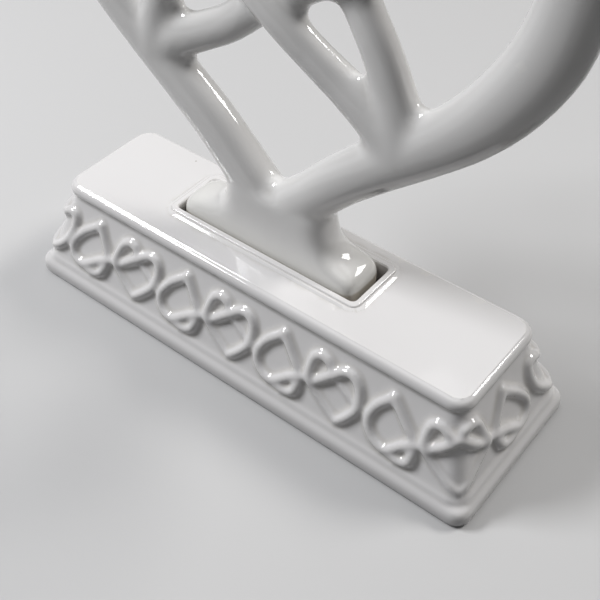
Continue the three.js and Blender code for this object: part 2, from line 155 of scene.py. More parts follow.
TIP_RUNS = (LEAF_SHARES, HOOK_SHARES, VEIN_SHARES)
LONG_RUNS = (*TIP_RUNS, ARCH_SHARES, GHOST_SHARES, RISE_SHARES, LOOP_SHARES)
CORNER_RUNS = (*TIP_RUNS, CORNER_ARCH_SHARES, CORNER_RISE_SHARES)
END_RUNS = (*TIP_RUNS, END_ARCH_SHARES, CORNER_RISE_SHARES)

# Where a cord lies: its middle over the ground and its level, as shares of its radius, and where
# the shares of the way down start and how far they reach, as shares of the frieze's height
REST_SHARE = 0.22
LIFT_SHARE = 0.75
TOP_SHARE = 0.135
SPAN_SHARE = 0.85
# The motifs slant about this share of the way down, less and less up to a corner
SLANT_SHARE = 0.08
SLANT_DOWN = 0.75
CORNER_PLACE = 0.5
END_SQUEEZE = 0.85
LONG_MOTIFS = 4
CORD_SIDES = 12
CORD_STEP = 0.7 * MM
BEAD_STEPS = 600
BEAD_SIDES = 10
BEAD_RISE = 0.7

# The heart's outer strands, each arm from the trunk up, then the lobe round to the dip: [share of
# the half width, share of the heart's height, level, share of the width, share of the depth].
# The arms differ a little, as in hand work.
RIGHT_ARM_SHARES = [
    (-0.057, -0.04, 0, 1, 1.15), (0.085, 0.049, 0, 0.98, 1.12), (0.182, 0.1, 0, 0.945, 1.08),
    (0.293, 0.162, 0, 0.94, 1.02), (0.435, 0.231, 0, 0.965, 0.98), (0.588, 0.301, 0, 0.99, 0.98),
]
LEFT_ARM_SHARES = [
    (-0.057, -0.04, 0, 1, 1.15), (0.08, 0.052, 0, 1.05, 1.12), (0.175, 0.105, 0, 1.05, 1.08),
    (0.287, 0.166, 0, 1.03, 1.02), (0.434, 0.231, 0, 0.99, 0.98), (0.588, 0.3, 0, 1, 0.98),
]
LOBE_SHARES = [
    (0.743, 0.378, 0, 1.03, 1), (0.86, 0.457, 0, 1.07, 1.03), (0.951, 0.551, 0, 1.08, 1.03),
    (0.995, 0.663, 0, 1.02, 1), (0.987, 0.769, 0, 0.95, 0.97), (0.906, 0.88, 0, 0.9, 0.94),
    (0.745, 0.966, 0, 0.86, 0.9), (0.538, 1, 0, 0.84, 0.88), (0.34, 0.971, 0, 0.82, 0.86),
    (0.17, 0.89, 0, 0.8, 0.84), (0.047, 0.794, 0, 0.78, 0.84), (-0.02, 0.738, 0, 0.78, 0.84),
]
# Inner strands that leave one arm and cross to the other: the same shares of place, the level in
# front of the middle plane, then one share for width and depth. The low one sags on the left.
RIGHT_LOW_SHARES = [
    (0.528, 0.274, 0, 1.35), (0.42, 0.325, 0.1, 1.2), (0.296, 0.366, 0.3, 1.05),
    (0.183, 0.405, 0.7, 1), (0.049, 0.455, 1, 1), (-0.094, 0.508, 0.3, 1), (-0.25, 0.561, -1, 1),
    (-0.41, 0.607, -0.4, 1), (-0.59, 0.658, 0, 1), (-0.76, 0.718, 0, 1.05),
    (-0.896, 0.789, 0, 1.15), (-0.953, 0.85, 0, 1.3),
]
LEFT_LOW_SHARES = [
    (0.528, 0.269, 0, 1.35), (0.42, 0.317, 0.1, 1.2), (0.3, 0.35, 0.3, 1.05),
    (0.183, 0.386, 0.7, 1), (0.049, 0.444, 1, 1), (-0.094, 0.498, 0.3, 1), (-0.25, 0.556, -1, 1),
    (-0.41, 0.605, -0.4, 1), (-0.59, 0.658, 0, 1), (-0.76, 0.718, 0, 1.05),
    (-0.896, 0.789, 0, 1.15), (-0.953, 0.85, 0, 1.3),
]
HIGH_SHARES = [
    (0.53, 0.274, 0, 1.4), (0.514, 0.324, 0, 1.28), (0.487, 0.38, 0, 1.12), (0.438, 0.443, 0, 1.03),
    (0.382, 0.491, -0.2, 1), (0.323, 0.53, -0.7, 1), (0.226, 0.579, -0.8, 1),
    (0.113, 0.625, 0.2, 1), (0, 0.673, 1, 1), (-0.146, 0.727, 0.4, 1), (-0.303, 0.787, 0, 1),
    (-0.456, 0.849, 0, 1.05), (-0.597, 0.909, 0, 1.15), (-0.72, 0.965, 0, 1.3),
]
# The foot's shoulders: [share of the way in to the waist, share of the rise, share of the way
# from the foot's depth to the waist's, squareness of the ends: 2 is round]
SHOULDER_SHARES = [
    (0, 0, 0, 5), (0.012, 0.04, 0.1, 4.6), (0.045, 0.085, 0.22, 4), (0.12, 0.13, 0.34, 3.2),
    (0.26, 0.175, 0.46, 2.5), (0.468, 0.22, 0.56, 2), (0.7, 0.295, 0.68, 2),
    (0.857, 0.42, 0.84, 2), (0.96, 0.64, 0.96, 2), (1, 1, 1, 2),
]
STRAND_STEPS = 6
STRAND_SIDES = 20

# Glaze: where a crease ends and an edge begins in Pointiness, which is 0.5 on flat ground, how
# much patches, edges and specks tint it, which cells hold a speck, and its gloss
CREASE_END = 0.5
EDGE_START = 0.51
PATCH_SHARE = 0.1
EDGE_SHARE = 0.35
SPECK_SHARE = 0.6
SPECK_CHOICE = 0.985
SPECK_COLOUR = (0.3, 0.26, 0.22)
GLOSS_LOW = 0.04
GLOSS_HIGH = 0.1
GLAZE_IOR = 1.5
COAT_WEIGHT = 0.3
COAT_ROUGHNESS = 0.05
RIPPLE_HEIGHT = 0.025 * MM

# Stage: half the floor's width, its roughness, the sky's strength, and the lamps with the point
# that they look at: [name, place, size, watts, colour]
FLOOR_HALF = 1.5
FLOOR_ROUGHNESS = 0.75
SKY_STRENGTH = 0.08
LAMP_TARGET = (0, 0, 0.03)
LAMPS = [
    ("left_window", (-0.395, -0.21, 0.455), (0.22, 0.14), 2.85, (0.985, 0.99, 1)),
    ("back_window", (0.336, 0.464, 0.59), (0.26, 0.2), 3, (1, 0.98, 0.95)),
    ("ceiling", (-0.1, 0.05, 1), (1, 1), 2.75, (1, 1, 1)),
]
# Camera: its turn round the plinth, its angle over the floor and its roll in degrees, its place
# from the foot of the plinth's middle, its lens and sensor in mm, and where it begins to see
CAMERA_ANGLES = (39.59, 45.37, -1.17)
CAMERA_PLACE = (0.09529, -0.10978, 0.15622)
CAMERA_LENS = 59.13
CAMERA_SENSOR = 36
CLIP_START = 0.01


def length(label, description, value):
    """Property for a length of the topper."""
    return FloatProperty(name=label, description=description, default=value, unit="LENGTH")


def colour(label, description, value):
    """Property for a linear colour."""
    return FloatVectorProperty(
        name=label, description=description, default=value, size=3, subtype="COLOR", min=0, max=1
    )


def share(label, description, value):
    """Property for a share from 0 to 1."""
    return FloatProperty(
        name=label, description=description, default=value, subtype="FACTOR", min=0, max=1
    )


class TopperPlinth(bpy.types.PropertyGroup):
    """Sizes of the plinth."""

    size_x: length("Length", "Length over the flange", PLINTH_HIGH.x - PLINTH_LOW.x)
    size_y: length("Depth", "Depth over the flange", PLINTH_HIGH.y - PLINTH_LOW.y)
    size_z: length("Height", "Height of the slab's top", PLINTH_HIGH.z - LIP_HEIGHT)
    flange_height: length("Flange height", "Height of the flange", 4.8 * MM)
    flange_drop: length("Flange drop", "How far the flange's edge lies below the bead", 0.7 * MM)
    flange_corner: length("Flange corner", "Corner radius in plan", 3.2 * MM)
    flange_round: length("Flange round", "Radius of the flange's top edge", 1.9 * MM)
    flange_chamfer: length("Flange underside", "Radius of the flange's lower edge", 0.8 * MM)
    flange_ledge: length("Ledge", "Width of the ledge in front of the frieze", 2.3 * MM)
    bead_radius: length("Bead radius", "Radius of the bead at the foot of the frieze", 0.7 * MM)
    bead_width: length("Bead width", "How far out the bead's middle lies", 0.3 * MM)
    bead_height: length("Bead height", "How far the bead stands up", 1.1 * MM)
    slab_setback: length("Slab setback", "From the flange's edge to the slab's", 6.1 * MM)
    slab_thickness: length("Slab thickness", "Thickness of the slab", 2.7 * MM)
    slab_corner: length("Slab corner", "Corner radius in plan", 4 * MM)
    slab_round: length("Slab round", "Radius of the slab's top edge", 1.65 * MM)
    slab_under: length("Slab underside", "Radius of the slab's lower edge", 0.95 * MM)
    slab_lean: length("Slab lean", "How far the slab's middle stands back", 0.4 * MM)
    slab_step: length("Slab step", "How far the slab stands over the frieze", 1 * MM)
    frieze_corner: length("Frieze corner", "Corner radius in plan", 2.8 * MM)
    wall: length("Wall", "Thickness of the side walls", 3.8 * MM)
    top_wall: length("Top wall", "Thickness under the top", 4.2 * MM)
    socket_shift_x: length("Socket shift X", "Socket's middle from the plinth's", -2.2 * MM)
    socket_shift_y: length("Socket shift Y", "Socket's middle from the plinth's", 2.1 * MM)
    socket_depth: length("Socket depth", "Depth of the socket below the slab's top", 8 * MM)
    socket_wall: length("Socket wall", "Thickness of the socket's tray", 2.8 * MM)
    socket_corner: length("Socket corner", "Corner radius in plan", 1 * MM)
    lip_width: length("Lip width", "Width of the raised lip", 1.3 * MM)
    lip_height: length("Lip height", "Height of the raised lip", LIP_HEIGHT)
    step_width: length("Step width", "Width over the low step round the lip", 2.3 * MM)
    step_slope: length("Step slope", "Width of the step's sloping edge", 0.5 * MM)
    step_height: length("Step height", "Height of the low step round the lip", 0.28 * MM)
    frieze_pitch: length("Frieze pitch", "From one leaf tip to the next", 26.1 * MM)
    cord_radius: length("Cord radius", "Radius of the frieze cord", 1.04 * MM)
    voxel: length("Clay grain", "Size of the cells that join the clay", 0.3 * MM)
    fillet: length("Glaze fillet", "Radius that glaze leaves in a crease", 0.2 * MM)


class TopperFigure(bpy.types.PropertyGroup):
    """Sizes of the foot and the heart."""

    foot_x: length("Foot length", "Length of the foot", 44.2 * MM)
    foot_y: length("Foot depth", "Depth of the foot", FOOT_DEPTH)
    foot_round: length("Foot edges", "Radius of the foot's edges", 0.6 * MM)
    foot_rise: length("Foot rise", "Foot's shoulder above the slab", 1.3 * MM)
    clearance: length("Clearance", "Gap round the foot", 0.35 * MM)
    end_play: length("End play", "Extra gap at the foot's ends", 0.45 * MM)
    waist_half: length("Waist", "Half width of the trunk's waist", 12.6 * MM)
    waist_shift: length("Waist shift", "Waist's middle from the foot's", 1.4 * MM)
    waist_depth: length("Waist depth", "Depth of the trunk's waist", 8.6 * MM)
    waist_rise: length("Waist rise", "Waist above the foot's shoulder", 11.5 * MM)
    heart_shift: length("Heart shift", "Heart's axis from the foot's middle", 0)
    heart_half: length("Heart half width", "Middle of the arm from the axis", 53 * MM)
    heart_tip: length("Heart tip", "Heart's tip above the slab", 6.1 * MM)
    heart_height: length("Heart height", "Tip to top, along the arm's middle", 99 * MM)
    arm_width: length("Arm width", "Width of an outer strand", 10.8 * MM)
    arm_depth: length("Arm depth", "Depth of an outer strand", 7.6 * MM)
    strand_width: length("Strand width", "Width of an inner strand", 7.3 * MM)
    strand_depth: length("Strand depth", "Depth of an inner strand", 5.6 * MM)
    strand_lift: length("Strand lift", "How far a strand passes in front", 1.2 * MM)
    voxel: length("Clay grain", "Size of the cells that join the clay", 0.5 * MM)
    fillet: length("Glaze fillet", "Radius that glaze leaves in a crease", 1.2 * MM)


class TopperFinish(bpy.types.PropertyGroup):
    """Colours of the glaze."""

    plinth_colour: colour("Plinth", "Glaze on the plinth", (0.80, 0.79, 0.795))
    figure_colour: colour("Figure", "Glaze on the figure", (0.8, 0.793, 0.788))
    foot_colour: colour("Foot", "Glaze low on the figure's foot", (0.79, 0.785, 0.735))
    # Gap colour: bare clay below the lip, darkened further as painted shade in the gap
    gap_clay_and_shade_colour: colour("Gap", "Bare clay on the figure below the lip", (0.42, 0.385, 0.33))
    # Crease colour: pooled glaze, and shade painted into creases where less light reaches
    pooled_glaze_and_shade_colour: colour("Creases", "Glaze where it pools", (0.62, 0.60, 0.565))
    thin_colour: colour("Edges", "Clay that shows through thin glaze", (0.86, 0.845, 0.82))
    # How strongly creases take the pooled glaze and the painted shade
    pooling_and_shade: share("Pooling", "How much the glaze tints creases", 0.55)
    floor_colour: colour("Floor", "Colour of the floor", (0.58, 0.58, 0.585))
    bounce_colour: colour("Floor bounce", "Colour of the floor's light", (0.1, 0.1, 0.1))


def shell_of(piece):
    """Fresh bmesh of a copy of a piece's mesh."""
    shell = bmesh.new()
    shell.from_mesh(piece.data)
    return shell


def object_of(name, shells):
    """New object that holds a row of shells, which are used up."""
    whole = bmesh.new()
    for shell in shells:
        bmesh.ops.recalc_face_normals(shell, faces=shell.faces)
        part = bpy.data.meshes.new(name)
        shell.to_mesh(part)
        shell.free()
        whole.from_mesh(part)
        bpy.data.meshes.remove(part)
    mesh = bpy.data.meshes.new(name)
    whole.to_mesh(mesh)
    whole.free()
    piece = bpy.data.objects.new(name, mesh)
    bpy.context.scene.collection.objects.link(piece)
    return piece


def apply_modifiers(piece):
    """Turns what a piece's modifiers show into its mesh."""
    graph = bpy.context.evaluated_depsgraph_get()
    done = bpy.data.meshes.new_from_object(piece.evaluated_get(graph))
    before = piece.data
    piece.modifiers.clear()
    piece.data = done
    bpy.data.meshes.remove(before)


def combine(piece, tool, operation):
    """Cuts a piece with a tool or joins the tool to it; the tool is used up."""
    step = piece.modifiers.new(operation, "BOOLEAN")
    step.object = tool
    step.operation = operation
    step.solver = "MANIFOLD"
    apply_modifiers(piece)
    bpy.data.objects.remove(tool)


def soften(piece, voxel, fillet, passes):
    """Joins overlapping clay, fills its creases to a radius and smooths it as glaze does. A
    radius below 0 rounds its edges instead."""
    def join():
        step = piece.modifiers.new("join", "REMESH")
        step.mode = "VOXEL"
        step.voxel_size = voxel

    def swell(strength):
        step = piece.modifiers.new("swell", "DISPLACE")
        step.strength = strength
        step.mid_level = 0
        step.direction = "NORMAL"

    def ease(count):
        step = piece.modifiers.new("ease", "SMOOTH")
        step.factor = 0.5
        step.iterations = count

    join()
    swell(fillet)
    join()
    ease(passes // 2)
    swell(-fillet)
    join()
    ease(passes)
    apply_modifiers(piece)
    piece.data.shade_smooth()


def crisp_edges(piece):
    """Shades a piece smooth but for its sharp edges."""
    piece.data.shade_smooth()
    piece.data.set_sharp_from_angle(angle=CRISP_ANGLE)


def level_out(piece, level, reach):
    """Makes what lies near a level quite flat."""
    for v in piece.data.vertices:
        if abs(v.co.z - level) < reach:
            v.co.z = level


def thin_out(piece, ratio):
    """Keeps a share of a piece's faces: fewest where it is flat."""
    step = piece.modifiers.new("thin", "DECIMATE")
    step.ratio = ratio
    apply_modifiers(piece)


def even_shading(piece):
    """Lets a piece's large faces keep their own shading up to their rounded edges."""
    step = piece.modifiers.new("even", "WEIGHTED_NORMAL")
    step.keep_sharp = True
    apply_modifiers(piece)


def rounded(shell, edges, radius, steps):
    """Rounds edges of a shell to a radius."""
    bmesh.ops.bevel(
        shell, geom=edges, offset=radius, segments=steps, profile=0.5, affect="EDGES", material=-1
    )


def block(half_x, half_y, corner, low, high, low_round=0, high_round=0, top_x=1, top_y=1):
    """Block with round upright corners and edges; its top may be scaled."""
    shell = bmesh.new()
    middle = (low + high) / 2
    place = Matrix.Translation((0, 0, middle)) @ Matrix.Diagonal((half_x, half_y, high - middle, 1))
    bmesh.ops.create_cube(shell, size=2, matrix=place)
    top = [v for v in shell.verts if v.co.z > middle]
    bmesh.ops.scale(shell, vec=(top_x, top_y, 1), verts=top)
    upright = [e for e in shell.edges if (e.verts[0].co.z > middle) != (e.verts[1].co.z > middle)]
    rounded(shell, upright, corner, CORNER_STEPS)
    for level, radius in ((low, low_round), (high, high_round)):
        if radius:
            rim = [
                e for e in shell.edges
                if all(abs(v.co.z - level) < SAME_LEVEL for v in e.verts)
            ]
            rounded(shell, rim, radius, EDGE_STEPS)
    return shell


def moved(shell, shift):
    """The same shell, moved."""
    bmesh.ops.translate(shell, vec=shift, verts=shell.verts)
    return shell


def smooth_path(points, steps):
    """Points of a smooth curve through a row of vectors, steps to each stretch."""
    path = []
    for i, (start, end) in enumerate(zip(points, points[1:])):
        before = points[max(i - 1, 0)]
        after = points[min(i + 2, len(points) - 1)]
        # each handle is a sixth of the way between its point's neighbours
        lead, tail = start + (end - before) / 6, end - (after - start) / 6
        path += interpolate_bezier(start, lead, tail, end, steps + 1)[:-1]
    return path + [points[-1]]


def along(row, place):
    """Value of a row of numbers at a place from 0 to 1 along it."""
    at = place * (len(row) - 1)
    low = min(int(at), len(row) - 2)
    return row[low] + (row[low + 1] - row[low]) * (at - low)


def ring_frame(points, index, normal, half_across, half_out):
    """Matrix that places an ellipse across a path: X across, Y out along the normal."""
    ahead = points[min(index + 1, len(points) - 1)] - points[max(index - 1, 0)]
    ahead.normalize()
    across = normal.cross(ahead).normalized()
    out = ahead.cross(across)
    turn = Matrix((across, out, ahead)).transposed().to_4x4()
    return (
        Matrix.Translation(points[index]) @ turn @ Matrix.Diagonal((half_across, half_out, 1, 1))
    )


def sweep(frames, sides):
    """Closed shell of an ellipse that is extruded through a row of frames."""
    shell = bmesh.new()
    start = bmesh.ops.create_circle(
        shell, cap_ends=True, segments=sides, radius=1, matrix=frames[0]
    )
    cap = start["verts"][0].link_faces[0]
    for before, after in zip(frames, frames[1:]):
        grown = bmesh.ops.extrude_face_region(shell, geom=[cap])["geom"]
        cap = next(item for item in grown if isinstance(item, bmesh.types.BMFace))
        bmesh.ops.transform(shell, matrix=after @ before.inverted(), verts=cap.verts)
    return shell


def tube(points, normals, radius, sides):
    """Closed shell of a round cord along a path, with the outward normal at each point."""
    return sweep(
        [ring_frame(points, k, normals[k], radius, radius) for k in range(len(points))], sides
    )


class Frieze:
    """The sloping ground of the frieze, and where a cord lies on it."""

    def __init__(self, sizes):
        self.foot = sizes.flange_height + sizes.bead_height
        self.top = sizes.size_z - sizes.slab_thickness
        self.height = self.top - self.foot
        setback = sizes.slab_setback + sizes.slab_step
        self.top_half = Vector(
            (sizes.size_x / 2 - setback, sizes.size_y / 2 - setback - sizes.slab_lean)
        )
        ledge = sizes.flange_ledge
        self.foot_half = Vector((sizes.size_x / 2 - ledge, sizes.size_y / 2 - ledge))
        self.corner = sizes.frieze_corner
        self.radius = sizes.cord_radius
        self.pitch = sizes.frieze_pitch
        middle = (self.top_half + self.foot_half) / 2
        self.half_long = middle.x - self.corner
        self.half_short = middle.y - self.corner
        self.arc = self.corner * math.pi / 2
        self.quarter = self.half_long + self.arc + self.half_short
        self.lean = math.atan2(self.foot_half.y - self.top_half.y, self.height)

    def half_at(self, z):
        """Half length and half depth of the ground at a height, also beyond its ends."""
        down = (self.top - z) / self.height
        return self.top_half + (self.foot_half - self.top_half) * down

    def point(self, distance, down):
        """Point on the ground and its outward normal, from a distance along the path from the
        middle of the front towards +X and a share of the way down."""
        z = self.top - down * self.height
        straight = self.half_at(z) - Vector((self.corner, self.corner))
        half = round(distance / (2 * self.quarter))
        local = distance - half * 2 * self.quarter
        run, turn = abs(local), math.copysign(1, local)
        angle = min(max((run - self.half_long) / self.corner, 0), math.pi / 2)
        along_x = min(run / self.half_long, 1) * straight.x
        along_y = 1 - max(run - self.half_long - self.arc, 0) / self.half_short
        flip = 1 if half % 2 == 0 else -1
        x = along_x + self.corner * math.sin(angle)
        y = -straight.y * along_y - self.corner * math.cos(angle)
        normal = Vector(
            (turn * math.sin(angle) * flip, -math.cos(angle) * flip, math.tan(self.lean))
        )
        return Vector((flip * turn * x, flip * y, z)), normal.normalized()

    def cord(self, shares, start, reach, slant=0, upright_at=math.inf, squeeze=1):
        """One run of cord beside the leaf tip at start, with the signed way to the next tip. It
        may slant, up to a place where it is upright, and be squeezed on the tip's other side."""
        flat = []
        for place, down, level in shares:
            upright = min(max(place / upright_at, 0), 1)
            shift = slant * (down - SLANT_DOWN) * (1 - upright)
            flat.append(Vector((
                start + (place * (squeeze if place < 0 else 1) + shift) * reach,
                (TOP_SHARE + down * SPAN_SHARE) * self.height,
                level * LIFT_SHARE * self.radius,
            )))
        steps = max(round((b - a).length / CORD_STEP) for a, b in zip(flat, flat[1:]))
        path = smooth_path(flat, steps)
        points, normals = [], []
        for place in path:
            point, normal = self.point(place.x, place.y / self.height)
            points.append(point + normal * (self.radius * REST_SHARE + place.z))
            normals.append(normal)
        return tube(points, normals, self.radius, CORD_SIDES)

    def bead(self, radius, out, z):
        """Bead that runs round the foot of the frieze, one step past its start."""
        points, normals = [], []
        for k in range(BEAD_STEPS + 2):
            point, normal = self.point(4 * self.quarter * k / BEAD_STEPS, 1)
            flat = Vector((normal.x, normal.y, 0)).normalized()
            points.append(Vector((point.x, point.y, z)) + flat * out)
            normals.append(flat)
        return tube(points, normals, radius, BEAD_SIDES)

    def cords(self):
        """All runs of cord, once round the plinth: the same on both long sides, and mirrored on
        both ends."""
        runs = []
        corner = self.half_long + self.arc / 2
        for side in (0, 2 * self.quarter):
            first = side - (LONG_MOTIFS - 1) / 2 * self.pitch
            last = side + (side - first)
            end = side + self.quarter
            for i in range(LONG_MOTIFS - 1):
                runs += [
                    (shares, first + i * self.pitch, self.pitch, SLANT_SHARE)
                    for shares in LONG_RUNS
                ]
            for tip, tip_runs, slant, squeeze in (
                (last, CORNER_RUNS, SLANT_SHARE, 1), (end, END_RUNS, 0, END_SQUEEZE),
            ):
                reach = (side + corner - tip) / CORNER_PLACE
                runs += [
                    (shares, tip, reach, slant, CORNER_PLACE, squeeze) for shares in tip_runs
                ]
            far = side + 2 * self.quarter - corner
            for tip in (end, first + 2 * self.quarter):
                # a large loop stands across the corner from the tip's own leaf
                virtual = 2 * far - tip
                runs.append((CORNER_LOOP_SHARES, virtual, tip - virtual))
        return [self.cord(*run) for run in runs]


def feed(tree, target, value):
    """Gives an input the value of a socket, or a plain one."""
    if isinstance(value, bpy.types.NodeSocket):
        tree.links.new(value, target)
    else:
        target.default_value = value


def worked_out(tree, operation, first, second):
    """Value of a math node; each side may be a socket or a plain value."""
    node = tree.nodes.new("ShaderNodeMath")
    node.operation = operation
    feed(tree, node.inputs[0], first)
    feed(tree, node.inputs[1], second)
    return node.outputs[0]


def ramp(tree, value, low, high, start=0, end=1, kind="SMOOTHSTEP"):
    """Value that goes from start to end where the given one goes from low to high."""
    node = tree.nodes.new("ShaderNodeMapRange")
    node.interpolation_type = kind
    for label, part in (
        ("Value", value), ("From Min", low), ("From Max", high), ("To Min", start), ("To Max", end),
    ):
        feed(tree, node.inputs[label], part)
    return node.outputs[0]


def noise(tree, scale, detail):
    """Value of a noise that stays in place on the piece."""
    place = tree.nodes.new("ShaderNodeTexCoord")
    node = tree.nodes.new("ShaderNodeTexNoise")
    node.inputs["Detail"].default_value = detail
    tree.links.new(place.outputs["Object"], node.inputs["Vector"])
    tree.links.new(scale, node.inputs["Scale"])
    return node.outputs["Fac"]


def mix_colours(tree, factor, first, second):
    """Mix of two colours; a factor or colour may be a socket or a plain value."""
    node = tree.nodes.new("ShaderNodeMix")
    node.data_type = "RGBA"
    for label, value in (("Factor_Float", factor), ("A_Color", first), ("B_Color", second)):
        feed(tree, next(s for s in node.inputs if s.identifier == label), value)
    return next(s for s in node.outputs if s.identifier == "Result_Color")


def node_group(name, inputs, outputs):
    """New shader node group with named sockets, and its two ends."""
    group = bpy.data.node_groups.new(name, "ShaderNodeTree")
    for label, value in inputs:
        socket = group.interface.new_socket(label, in_out="INPUT", socket_type="NodeSocketFloat")
        socket.default_value = value
    for label in outputs:
        group.interface.new_socket(label, in_out="OUTPUT", socket_type="NodeSocketFloat")
    return group, group.nodes.new("NodeGroupInput"), group.nodes.new("NodeGroupOutput")


def pooling_and_shade_mask_group():
    """Where creases take pooled glaze and painted shade and where glaze lies thin on edges, broken
    up by slow patches.
    """
    group, start, end = node_group(
        "Glaze Pooling and Shade", [("Crease Width", 0.02), ("Patch Scale", 60)],
        ["Crease", "Edge", "Patch"],
    )
    bend = group.nodes.new("ShaderNodeNewGeometry").outputs["Pointiness"]
    width = start.outputs["Crease Width"]
    low = worked_out(group, "SUBTRACT", CREASE_END, width)
    high = worked_out(group, "ADD", EDGE_START, width)
    group.links.new(ramp(group, bend, low, CREASE_END, 1, 0), end.inputs["Crease"])
    group.links.new(ramp(group, bend, EDGE_START, high), end.inputs["Edge"])
    group.links.new(noise(group, start.outputs["Patch Scale"], 2), end.inputs["Patch"])
    return group


def glaze_ripple_group():
    """Height of the glaze's slow ripple and of its fine skin."""
    group, start, end = node_group(
        "Glaze Ripple", [("Ripple Scale", 160), ("Skin Scale", 1400), ("Skin Share", 0.12)],
        ["Height"],
    )
    blend = group.nodes.new("ShaderNodeMix")
    group.links.new(start.outputs["Skin Share"], blend.inputs["Factor"])
    group.links.new(noise(group, start.outputs["Ripple Scale"], 1), blend.inputs["A"])
    group.links.new(noise(group, start.outputs["Skin Scale"], 1), blend.inputs["B"])
    group.links.new(blend.outputs["Result"], end.inputs["Height"])
    return group


def kiln_speck_group():
    """Mask of the few tiny specks and pinholes that a kiln leaves."""
    group, start, end = node_group("Kiln Specks", [("Scale", 420), ("Size", 0.09)], ["Speck"])
    place = group.nodes.new("ShaderNodeTexCoord")
    cells = group.nodes.new("ShaderNodeTexVoronoi")
    split = group.nodes.new("ShaderNodeSeparateColor")
    group.links.new(place.outputs["Object"], cells.inputs["Vector"])
    group.links.new(start.outputs["Scale"], cells.inputs["Scale"])
    group.links.new(cells.outputs["Color"], split.inputs["Color"])
    near = worked_out(group, "LESS_THAN", cells.outputs["Distance"], start.outputs["Size"])
    rare = worked_out(group, "GREATER_THAN", split.outputs["Red"], SPECK_CHOICE)
    group.links.new(worked_out(group, "MULTIPLY", near, rare), end.inputs["Speck"])
    return group


GROUPS = {
    "Glaze Pooling and Shade": pooling_and_shade_mask_group,
    "Glaze Ripple": glaze_ripple_group,
    "Kiln Specks": kiln_speck_group,
}


def placed(tree, name):
    """Shared node group placed in a material, and built before its first use."""
    node = tree.nodes.new("ShaderNodeGroup")
    node.node_tree = bpy.data.node_groups.get(name) or GROUPS[name]()
    return node


def low_tint(tree, body, tint, low, high):
    """Colour that goes from a tint to the body's with height over the floor."""
    place = tree.nodes.new("ShaderNodeTexCoord")
    split = tree.nodes.new("ShaderNodeSeparateXYZ")
    tree.links.new(place.outputs["Object"], split.inputs["Vector"])
    return mix_colours(tree, ramp(tree, split.outputs["Z"], low, high), tint, body)


def porcelain(name, glaze, finish, tints=()):
    """Glazed porcelain: darker in creases with pooled glaze and painted shade, paler on edges,
    faintly rippled, with rare specks.
    Each tint is a colour and the heights between which it gives way to what is above."""
    material = bpy.data.materials.new(name)
    material.use_nodes = True
    tree = material.node_tree
    shader = tree.nodes["Principled BSDF"]
    mask = placed(tree, "Glaze Pooling and Shade")
    body = (*glaze, 1)
    for tint, low, high in tints:
        body = low_tint(tree, body, (*tint, 1), low, high)
    for spread, amount, tint in (
        (mask.outputs["Patch"], PATCH_SHARE, finish.pooled_glaze_and_shade_colour),
        # creases: pooled glaze and painted shade
        (mask.outputs["Crease"], finish.pooling_and_shade, finish.pooled_glaze_and_shade_colour),
        (mask.outputs["Edge"], EDGE_SHARE, finish.thin_colour),
        (placed(tree, "Kiln Specks").outputs["Speck"], SPECK_SHARE, SPECK_COLOUR),
    ):
        factor = worked_out(tree, "MULTIPLY", spread, amount)
        body = mix_colours(tree, factor, body, (*tint, 1))
    gloss = ramp(tree, mask.outputs["Patch"], 0, 1, GLOSS_LOW, GLOSS_HIGH, "LINEAR")
    bump = tree.nodes.new("ShaderNodeBump")
    bump.inputs["Strength"].default_value = 1
    bump.inputs["Distance"].default_value = RIPPLE_HEIGHT
    tree.links.new(placed(tree, "Glaze Ripple").outputs["Height"], bump.inputs["Height"])
    for label, value in (
        ("Base Color", body), ("Roughness", gloss), ("Normal", bump.outputs["Normal"]),
        ("IOR", GLAZE_IOR), ("Coat Weight", COAT_WEIGHT), ("Coat Roughness", COAT_ROUGHNESS),
    ):
        feed(tree, shader.inputs[label], value)
    return material


